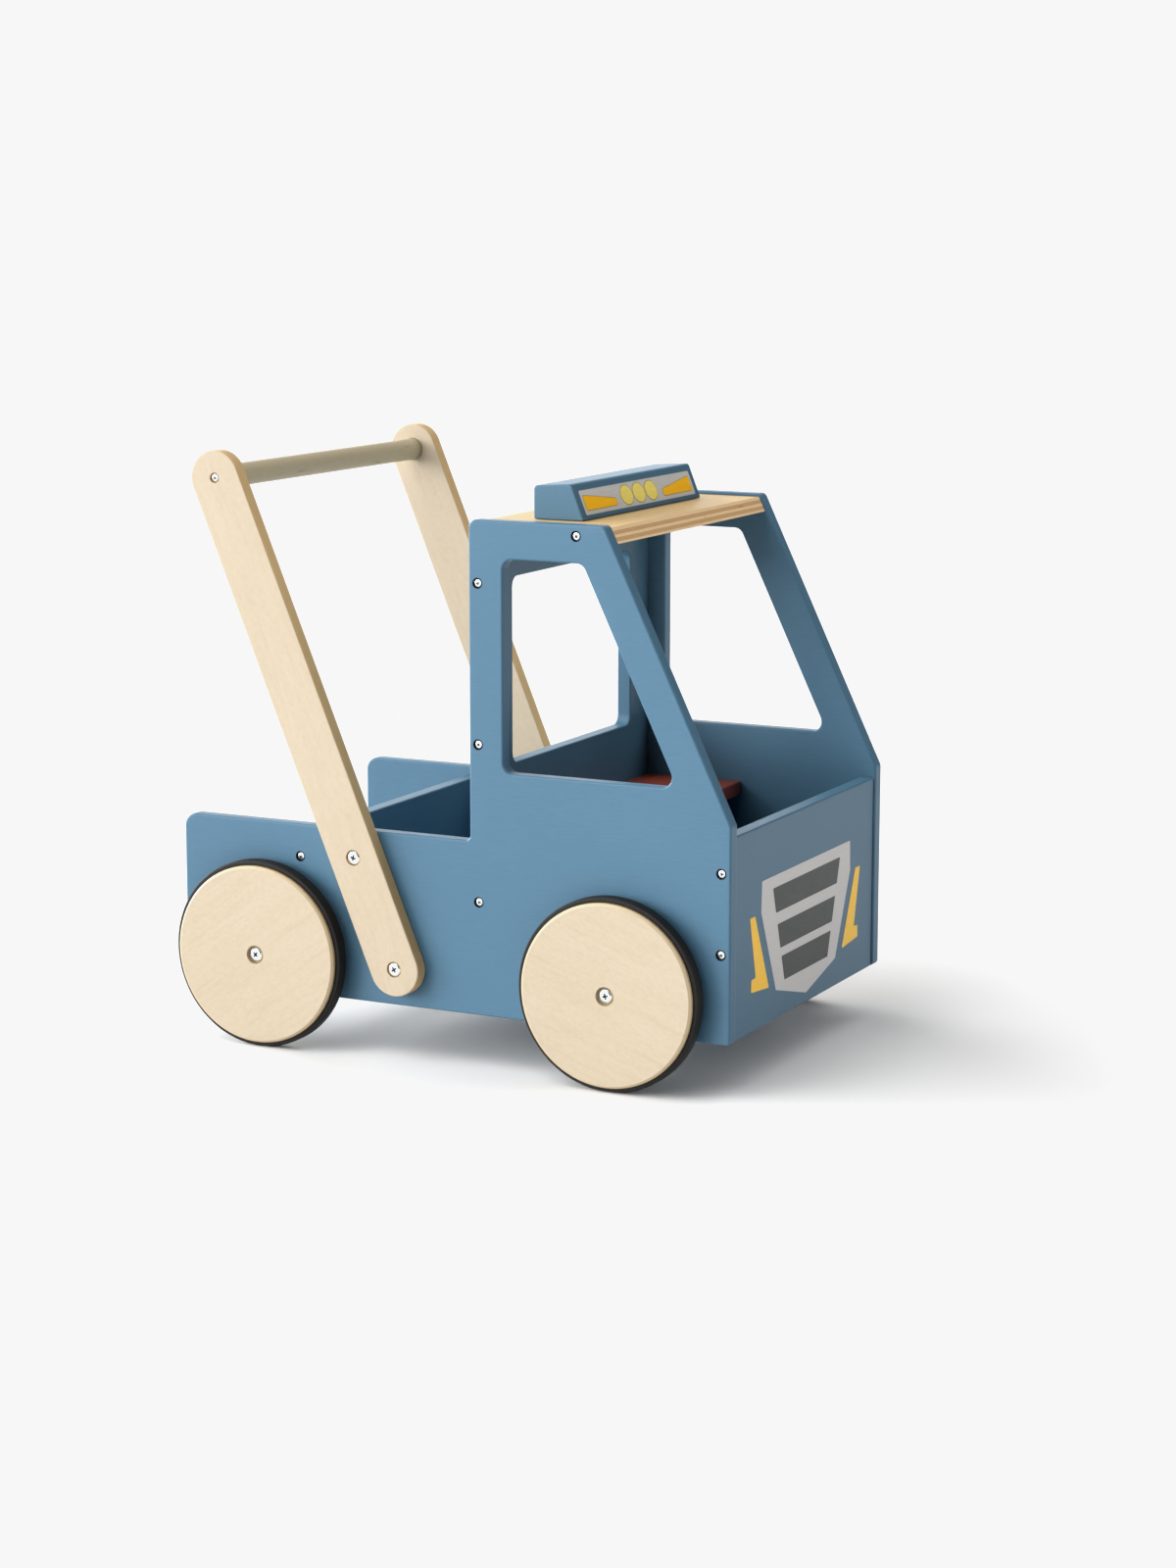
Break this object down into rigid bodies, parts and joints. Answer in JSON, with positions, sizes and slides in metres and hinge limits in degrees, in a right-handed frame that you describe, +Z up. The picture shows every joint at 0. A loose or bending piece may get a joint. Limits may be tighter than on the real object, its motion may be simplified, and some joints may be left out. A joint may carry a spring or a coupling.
{
  "type": "push along truck",
  "caption": "Toddler's wooden push along truck with an open cab and seat, a load bed, a leaning push handle and rubber-tyred wooden wheels.",
  "frame": {"origin": "on the floor, midway along the side panels and midway between them", "axes": "+X is the way the truck drives, +Y is its left side, +Z is up"},
  "size_m": [0.474, 0.344, 0.4675],
  "materials": {
    "blue_paint": "satin paint on birch plywood",
    "birch": "clear satin lacquer",
    "rust_paint": "satin paint on birch plywood",
    "rubber": "matt",
    "zinc": "bright zinc plate",
    "nylon": "matt moulded"
  },
  "bodies": {
    "chassis": {"side_panel_right": "blue_paint", "side_panel_left": "blue_paint", "front_panel": "blue_paint", "cab_rear_wall": "blue_paint", "tailgate": "blue_paint", "floor_board": "blue_paint", "seat_board": "rust_paint", "roof_board": "birch", "roof_light_bar": "blue_paint", "screw_rear_wall_top_right": "zinc", "screw_rear_wall_middle_right": "zinc", "screw_rear_wall_bottom_right": "zinc", "screw_roof_right": "zinc", "screw_front_panel_top_right": "zinc", "screw_front_panel_bottom_right": "zinc", "screw_tailgate_right": "zinc", "screw_floor_right": "zinc", "screw_seat_right": "zinc", "screw_rear_wall_top_left": "zinc", "screw_rear_wall_middle_left": "zinc", "screw_rear_wall_bottom_left": "zinc", "screw_roof_left": "zinc", "screw_front_panel_top_left": "zinc", "screw_front_panel_bottom_left": "zinc", "screw_tailgate_left": "zinc", "screw_floor_left": "zinc", "screw_seat_left": "zinc", "handle_arm_right": "birch", "screw_grip_right": "zinc", "handle_arm_left": "birch", "screw_grip_left": "zinc", "handle_grip": "birch", "arm_bolt_lower_right": "zinc", "arm_nut_lower_right": "zinc", "arm_bolt_upper_right": "zinc", "arm_nut_upper_right": "zinc", "arm_bolt_lower_left": "zinc", "arm_nut_lower_left": "zinc", "arm_bolt_upper_left": "zinc", "arm_nut_upper_left": "zinc", "wheel_spacer_front_right": "nylon", "wheel_bolt_front_right": "zinc", "wheel_nut_front_right": "zinc", "wheel_spacer_front_left": "nylon", "wheel_bolt_front_left": "zinc", "wheel_nut_front_left": "zinc", "wheel_spacer_rear_right": "nylon", "wheel_bolt_rear_right": "zinc", "wheel_nut_rear_right": "zinc", "wheel_spacer_rear_left": "nylon", "wheel_bolt_rear_left": "zinc", "wheel_nut_rear_left": "zinc"},
    "wheel_front_right": {"wheel_disc_front_right": "birch", "tyre_front_right": "rubber"},
    "wheel_front_left": {"wheel_disc_front_left": "birch", "tyre_front_left": "rubber"},
    "wheel_rear_right": {"wheel_disc_rear_right": "birch", "tyre_rear_right": "rubber"},
    "wheel_rear_left": {"wheel_disc_rear_left": "birch", "tyre_rear_left": "rubber"}
  },
  "joints": [
    {"name": "wheel_front_right_spin", "type": "hinge", "parent": "chassis", "child": "wheel_front_right", "pos_m": [0.1449, -0.1645, 0.0745], "axis": [0, 1, 0], "continuous": true},
    {"name": "wheel_front_left_spin", "type": "hinge", "parent": "chassis", "child": "wheel_front_left", "pos_m": [0.1449, 0.1645, 0.0745], "axis": [0, 1, 0], "continuous": true},
    {"name": "wheel_rear_right_spin", "type": "hinge", "parent": "chassis", "child": "wheel_rear_right", "pos_m": [-0.1601, -0.1645, 0.0745], "axis": [0, 1, 0], "continuous": true},
    {"name": "wheel_rear_left_spin", "type": "hinge", "parent": "chassis", "child": "wheel_rear_left", "pos_m": [-0.1601, 0.1645, 0.0745], "axis": [0, 1, 0], "continuous": true}
  ]
}
